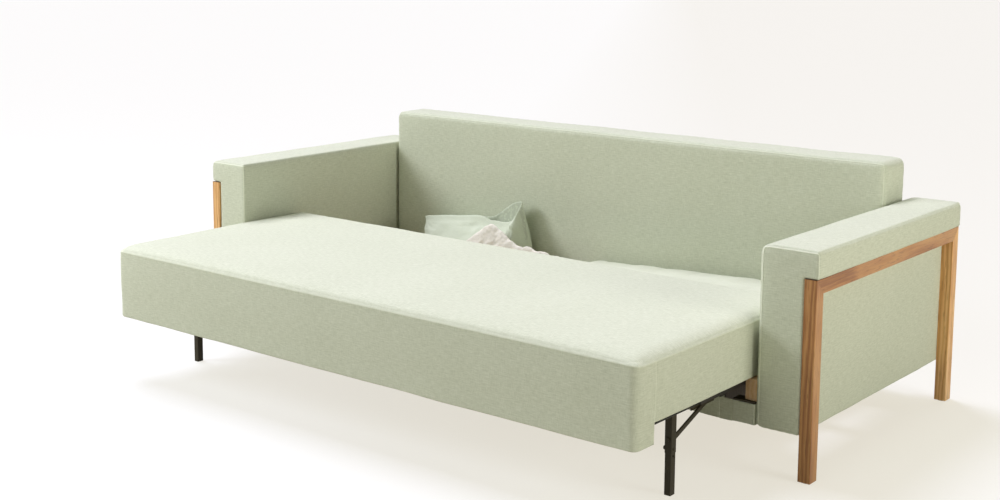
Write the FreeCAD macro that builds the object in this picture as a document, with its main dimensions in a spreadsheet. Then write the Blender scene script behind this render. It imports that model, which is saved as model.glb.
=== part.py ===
import FreeCAD, Part
import math
import os

import Sketcher
from FreeCAD import Rotation, Vector

# Sleeper sofa whose seat pulls out to make a bed, millimetres, +Z up.
# X runs along the seat, -Y is the front, the origin is on the floor under the middle of the
# sofa's bounding box, with the seat pulled out and its legs down.

SHEET = {
    "seat_length": 2000, "seat_depth": 807, "seat_top": 425, "seat_bottom": 252.5,
    "pull_out": 552, "seat_travel": 470, "seat_edge_radius": 26,
    "apron_depth": 80, "apron_bottom": 197,
    "arm_gap": 16, "arm_depth": 945, "arm_top": 624, "arm_thick": 130, "arm_radius": 12,
    "pad_wide": 171, "pad_high": 75, "base_bottom": 125,
    "back_top": 745, "back_inset": 781, "back_thick": 146, "back_gap": 7, "back_radius": 20,
    "post_wide": 36, "post_deep": 40, "arm_rail_high": 41, "post_edge_radius": 2,
    "glide_high": 3, "glide_radius": 14,
    "foam_thick": 20, "core_clearance": 1,
    "flap_thick": 4,
    "panel_thick": 25, "panel_top": 185, "panel_gap": 2, "panel_radius": 4,
    "rail_steel": 5, "rail_deep": 36, "rail_web": 42, "rail_setback": 2,
    "beam_wide": 37, "beam_top": 250, "beam_setback": 12, "beam_screw_height": 20,
    "board_thick": 12, "box_floor_bottom": 140, "box_floor_thick": 10, "box_half": 905,
    "box_wall_top": 240, "bearer_high": 15, "bearer_wide": 60, "bearer_front": 450,
    "runner_high": 22, "runner_bottom": 227, "runner_steel": 2.5, "runner_length": 600,
    "runner_play": 0.8, "runner_flange": 13, "runner_setback": 20, "flange_gap": 1.5,
    "timber": 40, "frame_top": 292, "frame_side": 15, "slat_wide": 60, "slat_thick": 12,
    "apron_foam": 8, "block_wide_of_leg": 31, "block_ahead": 60, "block_behind": 290,
    "leg_middle": 931, "leg_inset": 267, "pivot_height": 234.5, "leg_wide": 21, "leg_deep": 24,
    "leg_wall": 1.2, "leg_over": 7, "tube_bottom": 113, "insert_top": 163, "insert_play": 0.2,
    "leg_bolt_height": 150, "spare_hole_height": 104, "bolt_radius": 3, "pin_play": 0.05,
    "tube_radius": 2, "screw_head_radius": 6, "screw_head_high": 3, "nut_radius": 5.8,
    "nut_high": 4, "pin_head_radius": 5, "leg_bolt_long": 29,
    "leg_pin_head": 2, "leg_pin_long": 30, "brace_pin_head": 2.5, "brace_pin_long": 28,
    "bracket_steel": 3, "bracket_plate": 2.5, "bracket_play": 0.5, "bracket_half": 34,
    "ear_half": 14, "ear_bottom": 223, "ear_shoulder": 1,
    "slot_half": 19, "slot_offset": 3,
    "brace_drop": 112, "brace_length": 240, "brace_wide": 12, "brace_steel": 5, "brace_angle": 21,
    "brace_play": 0.5, "brace_end_flat": 0.1, "stud_reach": 7, "catch_play": 1,
    "catch_steel": 3, "catch_bottom": 186.5, "catch_ahead": 97, "catch_behind": 24,
    "catch_nose": 6, "catch_root_ahead": 6, "catch_root_behind": 30,
    "catch_slot": 10, "catch_slot_angle": 16,
}
# Bedding on the box floor: each piece's outline from the front (X, Z) and from the side (Y, Z)
BEDDING = {
    "pillow": ([(-790, 151), (-272, 151), (-284, 360), (-322, 470), (-345, 474), (-450, 404),
                (-500, 404), (-790, 366)],
               [(385, 151), (560, 151), (567, 300), (548, 474), (500, 474), (487, 402),
                (450, 345), (405, 285), (372, 215)]),
    "blanket": ([(-560, 151), (-52, 151), (-52, 240), (-75, 328), (-200, 342), (-300, 356),
                 (-380, 394), (-405, 400), (-433, 388), (-495, 320), (-560, 200)],
                [(308, 151), (358, 151), (358, 216), (390, 286), (412, 334), (412, 402),
                 (392, 402), (345, 290), (308, 180)]),
    "quilt": ([(-45, 151), (872, 151), (872, 335), (60, 300), (-45, 283)],
              [(307, 151), (563, 151), (563, 335), (325, 335), (307, 300)]),
}
SLATS = 9
SCREW_SPOTS = (0.12, 0.5, 0.88)
PAST = 5  # how far a cut starts outside the solid that it goes through
NEAR = 1  # how far a corner may lie below a height that picks its edge

doc = FreeCAD.newDocument("SleeperSofa")
sheet = doc.addObject("Spreadsheet::Sheet", "Dims")
for row, (alias, number) in enumerate(SHEET.items(), start=1):
    sheet.set(f"A{row}", alias)
    sheet.set(f"B{row}", str(number))
    sheet.setAlias(f"B{row}", alias)
doc.recompute()


class Size:
    """A length that knows its value and the spreadsheet formula behind it."""

    def __init__(self, value, text):
        self.value = value
        self.text = text

    def __add__(self, other):
        return Size(self.value + size(other).value, f"({self.text} + {size(other).text})")

    def __sub__(self, other):
        return Size(self.value - size(other).value, f"({self.text} - {size(other).text})")

    def __mul__(self, factor):
        return Size(self.value * factor, f"({self.text} * {factor})")

    def __truediv__(self, factor):
        return Size(self.value / factor, f"({self.text} / {factor})")

    def __neg__(self):
        return self * -1


def size(number):
    """A Size from a Size, a spreadsheet alias or a plain number."""
    if isinstance(number, Size):
        return number
    if isinstance(number, str):
        return Size(float(sheet.get(number)), f"Dims.{number}")
    return Size(number, str(number))


def bind(part, name, number):
    part.setExpression(name, size(number).text)


def place(part, x, y, z):
    for axis, number in zip("xyz", (x, y, z)):
        bind(part, f".Placement.Base.{axis}", number)


# Named places, all from the sheet
front = size("pull_out") / 2 - size("arm_depth") / 2
rear = front + "arm_depth"
inner_face = size("seat_length") / 2 + "arm_gap"
arm_outer = inner_face + "arm_thick"
pad_outer = inner_face + "pad_wide"
pad_bottom = size("arm_top") - "pad_high"
back_front = front + "back_inset"
back_rear = back_front + "back_thick"
back_half = inner_face - "back_gap"
seat_front = front - "pull_out"
seat_rear = seat_front + "seat_depth"
seat_half = size("seat_length") / 2
apron_rear = seat_front + "apron_depth"
beam_inner = inner_face - "beam_wide"
beam_front = front + "beam_setback"
rail_top = size("panel_top") + "rail_steel"
box_front = front + "panel_thick" + "rail_steel"
flange_front = front + "rail_setback"
flange_rear = flange_front + "rail_deep"
box_floor_top = size("box_floor_bottom") + "box_floor_thick"
slot_middle = size("leg_middle") - "slot_offset"
slot_inner = slot_middle - "slot_half"
slot_outer = slot_middle + "slot_half"
runner_top = size("runner_bottom") + "runner_high"
runner_front = front + "runner_setback"
leg_y = seat_front + "leg_inset"
leg_inner = size("leg_middle") - size("leg_wide") / 2
leg_outer = size("leg_middle") + size("leg_wide") / 2
frame_half = seat_half - "frame_side"
frame_rear = seat_rear - "foam_thick"
inner_runner_inner = beam_inner - size("runner_flange") * 2 - "flange_gap"
brace_inner = leg_inner - "brace_play" - "brace_steel"
brace_height = size("pivot_height") - "brace_drop"

SIDES = {"left": -1, "right": 1}
SUBPARTS = []


def subpart(part, label):
    """Keep a finished object as one sub-part under its own name."""
    part.Label = label
    SUBPARTS.append(part)
    return part


def solid_block(x, y, z, name="Block"):
    """A box between two bounds along each axis."""
    block = doc.addObject("Part::Box", name)
    for prop, (low, high) in zip(("Length", "Width", "Height"), (x, y, z)):
        bind(block, prop, size(high) - low)
    place(block, x[0], y[0], z[0])
    return block


def mirrored(side, low, high):
    """The X bounds of a stretch that is low to high on the right side."""
    if side > 0:
        return size(low), size(high)
    return -size(high), -size(low)


def rod(radius, length, x, y, z, axis, name="Rod"):
    """A cylinder that starts at a point and runs along an axis."""
    cylinder = doc.addObject("Part::Cylinder", name)
    bind(cylinder, "Radius", radius)
    bind(cylinder, "Height", length)
    cylinder.Placement.Rotation = Rotation(Vector(0, 0, 1), axis)
    place(cylinder, x, y, z)
    return cylinder


def hexagon(radius, length, x, y, z, axis, name="Hexagon"):
    """A hexagonal bolt head or nut that starts at a point and runs along an axis."""
    prism = doc.addObject("Part::Prism", name)
    prism.Polygon = 6
    bind(prism, "Circumradius", radius)
    bind(prism, "Height", length)
    prism.Placement.Rotation = Rotation(Vector(0, 0, 1), axis)
    place(prism, x, y, z)
    return prism


def group(label, members):
    compound = doc.addObject("Part::Compound", label)
    compound.Links = members
    return subpart(compound, label)


def rounded(base, radius, chosen, label):
    """A Part fillet on the chosen edges of a box."""
    doc.recompute()
    fillet = doc.addObject("Part::Fillet", label)
    fillet.Base = base
    number = size(radius).value
    fillet.Edges = [(index, number, number) for index, edge in enumerate(base.Shape.Edges, start=1)
                    if chosen(edge)]
    return subpart(fillet, label)


def origin_plane(body, role):
    return next(item for item in body.Origin.OriginFeatures if item.Role == role)


def outline(body, role, offset, points, name="Outline"):
    """A closed sketch polygon on an origin plane, each corner held by two sheet-driven sizes."""
    sketch = body.newObject("Sketcher::SketchObject", name)
    sketch.AttachmentSupport = (origin_plane(body, role), "")
    sketch.MapMode = "FlatFace"
    bind(sketch, ".AttachmentOffset.Base.z", offset)
    corners = [(size(across), size(up)) for across, up in points]
    count = len(corners)
    for index, (across, up) in enumerate(corners):
        after = corners[(index + 1) % count]
        sketch.addGeometry(Part.LineSegment(Vector(across.value, up.value, 0),
                                            Vector(after[0].value, after[1].value, 0)))
    for index in range(count):
        sketch.addConstraint(Sketcher.Constraint("Coincident", index, 2, (index + 1) % count, 1))
    for index, corner in enumerate(corners):
        for kind, number in zip(("DistanceX", "DistanceY"), corner):
            held = sketch.addConstraint(Sketcher.Constraint(kind, -1, 1, index, 1, number.value))
            sketch.setExpression(f"Constraints[{held}]", number.text)
    return sketch


def circle(body, role, offset, across, up, radius, name="Circle"):
    """A sketched circle whose centre and radius follow the sheet."""
    sketch = body.newObject("Sketcher::SketchObject", name)
    sketch.AttachmentSupport = (origin_plane(body, role), "")
    sketch.MapMode = "FlatFace"
    bind(sketch, ".AttachmentOffset.Base.z", offset)
    centre = (size(across), size(up))
    sketch.addGeometry(Part.Circle(Vector(centre[0].value, centre[1].value, 0), Vector(0, 0, 1),
                                   size(radius).value))
    for kind, number in zip(("DistanceX", "DistanceY"), centre):
        held = sketch.addConstraint(Sketcher.Constraint(kind, -1, 1, 0, 3, number.value))
        sketch.setExpression(f"Constraints[{held}]", number.text)
    held = sketch.addConstraint(Sketcher.Constraint("Radius", 0, size(radius).value))
    sketch.setExpression(f"Constraints[{held}]", size(radius).text)
    return sketch


def pad(body, sketch, length):
    feature = body.newObject("PartDesign::Pad", "Pad")
    feature.Profile = sketch
    bind(feature, "Length", length)
    sketch.Visibility = False
    return feature


def pocket(body, sketch, length, reverse=False):
    """Cut a sketch into the body, and stop if the cut removes nothing."""
    doc.recompute()
    before = body.Shape.Volume
    feature = body.newObject("PartDesign::Pocket", "Pocket")
    feature.Profile = sketch
    bind(feature, "Length", length)
    feature.Reversed = reverse
    doc.recompute()
    if body.Shape.Volume > before - 1:
        raise RuntimeError(f"a pocket in {body.Name} removes nothing")
    return feature


def round_edges(body, radius, chosen):
    """Fillet the edges of the body's tip that the test picks."""
    doc.recompute()
    base = body.Tip
    names = [f"Edge{index}" for index, edge in enumerate(base.Shape.Edges, start=1) if chosen(edge)]
    feature = body.newObject("PartDesign::Fillet", "Fillet")
    feature.Base = (base, names)
    bind(feature, "Radius", radius)
    return feature


def along(axis):
    """An edge test: the edge is straight and runs along this axis."""
    def chosen(edge):
        ends = [vertex.Point for vertex in edge.Vertexes]
        return len(ends) == 2 and abs((ends[1] - ends[0]).normalize().dot(axis)) > 0.999
    return chosen


X_AXIS, Y_AXIS, Z_AXIS = Vector(1, 0, 0), Vector(0, 1, 0), Vector(0, 0, 1)


def make_body(label):
    return subpart(doc.addObject("PartDesign::Body", label), label)


def extruded_x(label, points, x):
    """A body whose Y-Z outline runs along X between two bounds."""
    body = make_body(label)
    pad(body, outline(body, "YZ_Plane", x[0], points), size(x[1]) - x[0])
    return body


def extruded_y(label, points, y):
    """A body whose X-Z outline runs along Y between two bounds."""
    body = make_body(label)
    pad(body, outline(body, "XZ_Plane", -size(y[1]), points), size(y[1]) - y[0])
    return body


def make_arm(name, side):
    """The upholstered slab with its overhanging pad, and the timber core pushed in from below."""
    sections = [(inner_face, "base_bottom"), (arm_outer, "base_bottom"), (arm_outer, pad_bottom),
                (pad_outer, pad_bottom), (pad_outer, "arm_top"), (inner_face, "arm_top")]
    arm = extruded_y(f"{name}_arm_upholstery", [(size(x) * side, z) for x, z in sections],
                     (front, rear))
    top = size("arm_top").value
    low = pad_bottom.value

    def visible_edge(edge):
        heights = [vertex.Point.z for vertex in edge.Vertexes]
        on_top = min(heights) > top - NEAR
        upright = along(Z_AXIS)(edge) and max(heights) > low + NEAR
        return on_top or upright
    round_edges(arm, "arm_radius", visible_edge)
    core_x = (inner_face + "foam_thick", arm_outer - "foam_thick")
    core_y = (front + "foam_thick", rear - "foam_thick")
    core_top = pad_bottom
    corners = [(core_x[0] * side, core_y[0]), (core_x[1] * side, core_y[0]),
               (core_x[1] * side, core_y[1]), (core_x[0] * side, core_y[1])]
    pocket(arm, outline(arm, "XY_Plane", "base_bottom", corners), core_top - "base_bottom",
           reverse=True)
    play = size("core_clearance")
    core = solid_block(mirrored(side, core_x[0] + play, core_x[1] - play),
                       (core_y[0] + play, core_y[1] - play), ("base_bottom", core_top - play))
    subpart(core, f"{name}_arm_core")


def make_arm_frame(name, side):
    """Front post, rear post and top rail, joined by mitres in the corners."""
    x = mirrored(side, arm_outer, arm_outer + "post_wide")
    foot = size("glide_high")
    shoulder = pad_bottom - "arm_rail_high"
    front_in = front + "post_deep"
    rear_in = rear - "post_deep"
    outlines = {
        "front_post": [(front, foot), (front_in, foot), (front_in, shoulder), (front, pad_bottom)],
        "rear_post": [(rear_in, foot), (rear, foot), (rear, pad_bottom), (rear_in, shoulder)],
        "arm_rail": [(front_in, shoulder), (rear_in, shoulder), (rear, pad_bottom),
                     (front, pad_bottom)],
    }
    for piece, points in outlines.items():
        body = extruded_x(f"{name}_{piece}", points, x)
        grain = Y_AXIS if piece == "arm_rail" else Z_AXIS
        round_edges(body, "post_edge_radius", along(grain))


def make_glides():
    discs = []
    for side in SIDES.values():
        for y in (front + size("post_deep") / 2, rear - size("post_deep") / 2):
            x = (arm_outer + size("post_wide") / 2) * side
            discs.append(rod("glide_radius", "glide_high", x, y, 0, Z_AXIS, "Glide"))
    group("post_glides", discs)


def make_back():
    """The upholstered back between the arms, open below for its timber core."""
    points = [(back_front, "base_bottom"), (back_rear, "base_bottom"), (back_rear, "back_top"),
              (back_front, "back_top")]
    back = extruded_x("back_upholstery", points, (-back_half, back_half))
    bottom = size("base_bottom").value
    round_edges(back, "back_radius",
                lambda edge: max(vertex.Point.z for vertex in edge.Vertexes) > bottom + 1)
    inset = size("foam_thick") * 2
    x = (-back_half + inset, back_half - inset)
    y = (back_front + inset, back_rear - inset)
    corners = [(x[0], y[0]), (x[1], y[0]), (x[1], y[1]), (x[0], y[1])]
    core_top = size("back_top") - inset
    pocket(back, outline(back, "XY_Plane", "base_bottom", corners), core_top - "base_bottom",
           reverse=True)
    play = size("core_clearance")
    core = solid_block((x[0] + play, x[1] - play), (y[0] + play, y[1] - play),
                       ("base_bottom", core_top - play))
    subpart(core, "back_core")


def panel_piece(x, name="Panel"):
    return solid_block(x, (front, front + "panel_thick"), ("base_bottom", "panel_top"), name)


def rail_piece(x, name="FrontRail"):
    """An angle of steel: a flange on the panel's top edge and a web down behind it."""
    flange = solid_block(x, (flange_front, flange_rear), ("panel_top", rail_top), name)
    web = solid_block(x, (front + "panel_thick", box_front),
                      (size("panel_top") - "rail_web", "panel_top"), name)
    angle = doc.addObject("Part::Fuse", name)
    angle.Base = flange
    angle.Tool = web
    return angle


def make_front():
    """The panel below the seat and its rail, both open where the folding legs pass."""
    middle = (-slot_inner, slot_inner)
    ends = [mirrored(side, slot_outer, inner_face - "panel_gap") for side in SIDES.values()]
    rounded(panel_piece(middle), "panel_radius", along(X_AXIS), "front_panel")
    group("panel_ends", [panel_piece(end) for end in ends])
    group("front_rail", [rail_piece(x) for x in [middle] + ends])
    flap_x = [mirrored(side, slot_inner, slot_outer) for side in SIDES.values()]
    group("leg_flaps", [solid_block(x, (front, front + "flap_thick"),
                                    ("base_bottom", "panel_top"), "Flap") for x in flap_x])


def make_box():
    """Beams on the arms, and the bedding box with the bearers that tie the arms together."""
    for name, side in SIDES.items():
        beam = solid_block(mirrored(side, beam_inner, inner_face), (beam_front, back_front),
                           (rail_top, "beam_top"))
        subpart(beam, f"{name}_side_beam")
        board = solid_block(mirrored(side, size("box_half") - "board_thick", "box_half"),
                            (flange_rear, back_front), (box_floor_top, "box_wall_top"))
        subpart(board, f"{name}_box_board")
    bearer_front = front + "bearer_front"
    bearer_z = (size("box_floor_bottom") - "bearer_high", "box_floor_bottom")
    starts = [bearer_front, back_front - "bearer_wide"]
    group("box_bearers", [solid_block((-inner_face, inner_face), (y, y + "bearer_wide"), bearer_z)
                          for y in starts])
    subpart(solid_block((-size("box_half"), "box_half"), (box_front, back_front),
                        ("box_floor_bottom", box_floor_top)), "box_floor")
    inside = size("box_half") - "board_thick"
    subpart(solid_block((-inside, inside), (back_front - "board_thick", back_front),
                        (box_floor_top, "box_wall_top")), "box_rear_board")


def make_beam_screws():
    """Hexagon-headed screws that hold each side beam to its arm."""
    screws = []
    for side in SIDES.values():
        for part_way in SCREW_SPOTS:
            y = beam_front + (back_front - beam_front) * part_way
            height = rail_top + "beam_screw_height"
            start = (beam_inner - "screw_head_high") * side
            screws.append(hexagon("screw_head_radius", "screw_head_high", start, y, height,
                                  X_AXIS * side, "Head"))
    group("beam_screws", screws)


def inward_channel(side):
    """The fixed channel's outline: a web on the beam and two flanges towards the seat."""
    low, steel = size("runner_bottom"), size("runner_steel")
    tip, web = beam_inner - "runner_flange", beam_inner - "runner_steel"
    corners = [(tip, low), (beam_inner, low), (beam_inner, runner_top), (tip, runner_top),
               (tip, runner_top - steel), (web, runner_top - steel), (web, low + steel),
               (tip, low + steel)]
    return [(x * side, z) for x, z in corners]


def outward_channel(side):
    """The seat channel's outline: two flanges towards the beam and a web up to the slats."""
    low, steel = size("runner_bottom"), size("runner_steel")
    back, web = inner_runner_inner, inner_runner_inner + "runner_steel"
    tip = web + "runner_flange" - "runner_steel"
    top = size("frame_top") - "slat_thick"
    corners = [(back, low), (tip, low), (tip, low + steel), (web, low + steel),
               (web, runner_top - steel), (tip, runner_top - steel), (tip, runner_top),
               (web, runner_top), (web, top), (back, top)]
    return [(x * side, z) for x, z in corners]


def make_runners(name, side):
    """A telescopic runner: a channel on the beam, one on the seat, and the middle member."""
    steel = size("runner_steel")
    length = size("runner_length")
    play = size("runner_play")
    half_travel = size("seat_travel") / 2
    extruded_y(f"{name}_fixed_runner", inward_channel(side),
               (runner_front, runner_front + length))
    seat_y = runner_front - size("seat_travel")
    extruded_y(f"{name}_inner_runner", outward_channel(side), (seat_y, seat_y + length))
    low = size("runner_bottom") + steel + play
    high = runner_top - steel - play
    waist_low = size("runner_bottom") + size("runner_high") / 2 - steel / 2
    waist_high = waist_low + steel
    left, right = inner_runner_inner + steel + play, beam_inner - steel - play
    middle = [(left, low), (left + steel, low), (left + steel, waist_low),
              (right - steel, waist_low), (right - steel, low), (right, low), (right, high),
              (right - steel, high), (right - steel, waist_high), (left + steel, waist_high),
              (left + steel, high), (left, high)]
    middle_y = runner_front - half_travel
    extruded_y(f"{name}_middle_runner", [(x * side, z) for x, z in middle],
               (middle_y, middle_y + length))


def make_seat_upholstery():
    """Mattress and apron in one cover, hollow below for the timber frame."""
    points = [(seat_front, "apron_bottom"), (apron_rear, "apron_bottom"),
              (apron_rear, "seat_bottom"), (seat_rear, "seat_bottom"), (seat_rear, "seat_top"),
              (seat_front, "seat_top")]
    seat = extruded_x("seat_upholstery", points, (-seat_half, seat_half))
    top = size("seat_top").value

    def visible_edge(edge):
        ends = [vertex.Point for vertex in edge.Vertexes]
        on_top = min(end.z for end in ends) > top - NEAR
        return on_top or along(Z_AXIS)(edge) and max(end.z for end in ends) > top - NEAR
    round_edges(seat, "seat_edge_radius", visible_edge)
    apron_floor = size("apron_bottom") + "apron_foam"
    hollow = [(apron_rear - "timber", apron_floor), (apron_rear, apron_floor),
              (apron_rear, "seat_bottom"),
              (frame_rear, "seat_bottom"), (frame_rear, "frame_top"),
              (apron_rear - "timber", "frame_top")]
    pocket(seat, outline(seat, "YZ_Plane", -frame_half, hollow, "Hollow"), frame_half * 2,
           reverse=True)


def make_seat_frame():
    """Apron rail, rear rail, side rails, slats and the blocks that carry the legs."""
    timber = size("timber")
    deck = ("seat_bottom", "frame_top")
    subpart(solid_block((-frame_half, frame_half), (apron_rear - timber, apron_rear),
                        (size("apron_bottom") + "apron_foam", "frame_top")), "apron_rail")
    subpart(solid_block((-frame_half, frame_half), (frame_rear - timber, frame_rear), deck),
            "seat_rear_rail")
    side_y = (apron_rear, frame_rear - timber)
    rail_inner = inner_runner_inner + "runner_steel"
    block_inner = leg_inner - "block_wide_of_leg"
    for name, side in SIDES.items():
        rail = solid_block(mirrored(side, rail_inner, frame_half), side_y, deck)
        subpart(rail, f"{name}_seat_side_rail")
        block = solid_block(mirrored(side, block_inner, inner_runner_inner),
                            (leg_y - "block_ahead", leg_y + "block_behind"), deck)
        subpart(block, f"{name}_leg_block")
    slat_span = block_inner - "slat_wide"
    slats = []
    for index in range(SLATS):
        x = slat_span * (2 * index / (SLATS - 1) - 1) - size("slat_wide") / 2
        slats.append(solid_block((x, x + "slat_wide"), side_y,
                                 (size("frame_top") - "slat_thick", "frame_top"), "Slat"))
    group("seat_slats", slats)


def make_leg_bracket(name, side):
    """A folded steel bracket: a plate under the seat and an ear each side of the leg."""
    steel = size("bracket_steel")
    play = size("bracket_play")
    plate_bottom = size("seat_bottom") - "bracket_plate"
    corners = [(leg_inner - play - steel, "ear_bottom"), (leg_inner - play, "ear_bottom"),
               (leg_inner - play, plate_bottom), (leg_outer + play, plate_bottom),
               (leg_outer + play, "ear_bottom"), (leg_outer + play + steel, "ear_bottom"),
               (leg_outer + play + steel, "seat_bottom"),
               (leg_inner - play - steel, "seat_bottom")]
    bracket = extruded_y(f"{name}_leg_bracket", [(x * side, z) for x, z in corners],
                         (leg_y - "bracket_half", leg_y + "bracket_half"))
    trim_z = ("ear_bottom", plate_bottom - "ear_shoulder")
    near = leg_inner - play - steel - PAST
    far = leg_outer + play + steel + PAST
    start = -far if side < 0 else near
    for sign in (-1, 1):
        near_y = leg_y + size("ear_half") * sign
        far_y = leg_y + (size("bracket_half") + PAST) * sign
        corners = [(near_y, trim_z[0]), (far_y, trim_z[0]), (far_y, trim_z[1]),
                   (near_y, trim_z[1])]
        sketch = outline(bracket, "YZ_Plane", start, corners)
        pocket(bracket, sketch, far - near, reverse=True)
    hole = circle(bracket, "YZ_Plane", start, leg_y, "pivot_height",
                  size("bolt_radius") + "pin_play", "PinHole")
    pocket(bracket, hole, far - near, reverse=True)


def headed_pin(label, start, z, side, reach, head_high):
    """A pin along X through the leg's middle, its head on the sofa's inner side of the joint."""
    shank = rod("bolt_radius", reach, start * side, leg_y, z, X_AXIS * side, "Shank")
    head = rod("pin_head_radius", head_high, (start - head_high) * side, leg_y, z,
               X_AXIS * side, "Head")
    pin = doc.addObject("Part::Fuse", label)
    pin.Base = shank
    pin.Tool = head
    return subpart(pin, label)


def make_leg(name, side):
    """The outer tube that swings, the insert that sets its height and the bolt between them."""
    deep = size("leg_deep") / 2
    wall = size("leg_wall")
    tube = make_body(f"{name}_leg_tube")
    tube_top = size("pivot_height") + "leg_over"

    def ring(x_in, y_in):
        return [(leg_inner + x_in, leg_y - deep + y_in), (leg_outer - x_in, leg_y - deep + y_in),
                (leg_outer - x_in, leg_y + deep - y_in), (leg_inner + x_in, leg_y + deep - y_in)]

    def sided(points):
        return [(x * side, y) for x, y in points]
    pad(tube, outline(tube, "XY_Plane", "tube_bottom", sided(ring(0, 0))),
        tube_top - "tube_bottom")
    round_edges(tube, "tube_radius", along(Z_AXIS))
    pocket(tube, outline(tube, "XY_Plane", "tube_bottom", sided(ring(wall, wall)), "Bore"),
           tube_top - "tube_bottom", reverse=True)
    start = leg_inner - PAST if side > 0 else -(leg_outer + PAST)
    across = size("leg_wide") + PAST * 2
    through = size("leg_deep") + PAST * 2
    hole_radius = size("bolt_radius") + "pin_play"
    middle = size("leg_middle") * side
    for height in ("pivot_height", brace_height):
        pocket(tube, circle(tube, "YZ_Plane", start, leg_y, height, hole_radius, "PinHole"),
               across, reverse=True)
    bolt_hole = circle(tube, "XZ_Plane", -(leg_y + deep + PAST), middle, "leg_bolt_height",
                       hole_radius, "BoltHole")
    pocket(tube, bolt_hole, through, reverse=True)

    gap = wall + "insert_play"
    insert = make_body(f"{name}_leg_insert")
    pad(insert, outline(insert, "XY_Plane", 0, sided(ring(gap, gap))), "insert_top")
    hole = circle(insert, "XZ_Plane", -(leg_y + deep + PAST), middle, "leg_bolt_height",
                  hole_radius, "BoltHole")
    pocket(insert, hole, through, reverse=True)
    for height in (brace_height, "spare_hole_height"):
        pocket(insert, circle(insert, "YZ_Plane", start, leg_y, height, hole_radius, "PinHole"),
               across, reverse=True)

    shank = rod("bolt_radius", "leg_bolt_long", middle, leg_y - deep, "leg_bolt_height",
                Y_AXIS, "Shank")
    head = hexagon("nut_radius", "nut_high", middle, leg_y - deep - "nut_high",
                   "leg_bolt_height", Y_AXIS, "Head")
    nut = hexagon("nut_radius", "nut_high", middle, leg_y + deep, "leg_bolt_height", Y_AXIS,
                  "Nut")
    bolt = doc.addObject("Part::MultiFuse", f"{name}_leg_bolt")
    bolt.Shapes = [shank, head, nut]
    subpart(bolt, f"{name}_leg_bolt")
    headed_pin(f"{name}_leg_pin", leg_inner - "bracket_play" - "bracket_steel",
               "pivot_height", side, "leg_pin_long", size("leg_pin_head"))
    headed_pin(f"{name}_brace_pin", brace_inner, brace_height, side, "brace_pin_long",
               size("brace_pin_head"))


def make_brace(name, side):
    """A flat bar with round ends, a hole on the leg's pin and a stud that rests in the catch."""
    body = make_body(f"{name}_brace")
    half = size("brace_wide") / 2
    offset = brace_inner if side > 0 else -(brace_inner + "brace_steel")
    corners = [(-half, -half), (size("brace_length") + half, -half),
               (size("brace_length") + half, half), (-half, half)]
    pad(body, outline(body, "YZ_Plane", offset, corners), "brace_steel")
    round_edges(body, half - "brace_end_flat", along(X_AXIS))
    hole = circle(body, "YZ_Plane", offset - PAST, 0, 0, size("bolt_radius") + "pin_play",
                  "PinHole")
    pocket(body, hole, size("brace_steel") + PAST * 2, reverse=True)
    stud_offset = brace_inner - "stud_reach" if side > 0 else -brace_inner
    stud = circle(body, "YZ_Plane", stud_offset, "brace_length", 0, "bolt_radius", "Stud")
    pad(body, stud, "stud_reach")
    body.Placement.Rotation = Rotation(X_AXIS, SHEET["brace_angle"])
    place(body, 0, leg_y, brace_height)


def make_catch(name, side):
    """The plate under the seat with an open slot, out of which the brace's stud slides."""
    angle = math.radians(SHEET["brace_angle"])
    stud_y = leg_y + size("brace_length") * math.cos(angle)
    stud_z = brace_height + size("brace_length") * math.sin(angle)
    inner = brace_inner - "catch_play" - "catch_steel"
    ahead, behind = stud_y - "catch_ahead", stud_y + "catch_behind"
    shape = [(ahead, "catch_bottom"), (behind - "catch_nose", "catch_bottom"),
             (behind, size("catch_bottom") + "catch_nose"),
             (behind + "catch_root_behind", "seat_bottom"),
             (ahead - "catch_root_ahead", "seat_bottom")]
    x = mirrored(side, inner, inner + "catch_steel")
    catch = extruded_x(f"{name}_brace_catch", shape, x)
    slope = math.tan(math.radians(SHEET["catch_slot_angle"]))
    half = size("catch_slot") / 2
    run = size("catch_behind") + PAST
    start = stud_y - half
    slot = [(start, stud_z - half), (stud_y + run, stud_z - half - run * slope),
            (stud_y + run, stud_z + half), (start, stud_z + half)]
    pocket(catch, outline(catch, "YZ_Plane", x[0] - PAST, slot, "Slot"),
           size("catch_steel") + PAST * 2, reverse=True)


def make_bedding():
    """Pillow, blanket and quilt as closed forms, each where its two outlines cross."""
    for label, (front_view, side_view) in BEDDING.items():
        depths = [y for y, z in side_view]
        across = doc.addObject("PartDesign::Body", "Across")
        pad(across, outline(across, "XZ_Plane", -max(depths), front_view),
            max(depths) - min(depths))
        reach = [x for x, z in front_view]
        along_box = doc.addObject("PartDesign::Body", "Along")
        pad(along_box, outline(along_box, "YZ_Plane", min(reach), side_view),
            max(reach) - min(reach))
        form = doc.addObject("Part::Common", label)
        form.Base = across
        form.Tool = along_box
        subpart(form, label)


for side_name, side_sign in SIDES.items():
    make_arm(side_name, side_sign)
    make_arm_frame(side_name, side_sign)
    make_runners(side_name, side_sign)
    make_leg_bracket(side_name, side_sign)
    make_leg(side_name, side_sign)
    make_brace(side_name, side_sign)
    make_catch(side_name, side_sign)
make_glides()
make_back()
make_front()
make_box()
make_beam_screws()
make_seat_upholstery()
make_seat_frame()
make_bedding()
doc.recompute()

for item in doc.Objects:
    if {"Invalid", "Error"} & set(item.State):
        raise RuntimeError(f"{item.Label} failed: {item.State}")
for item in SUBPARTS:
    if item.Shape.isNull() or not item.Shape.isValid() or not item.Shape.Solids:
        raise RuntimeError(f"{item.Label} has no valid solid")

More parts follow.
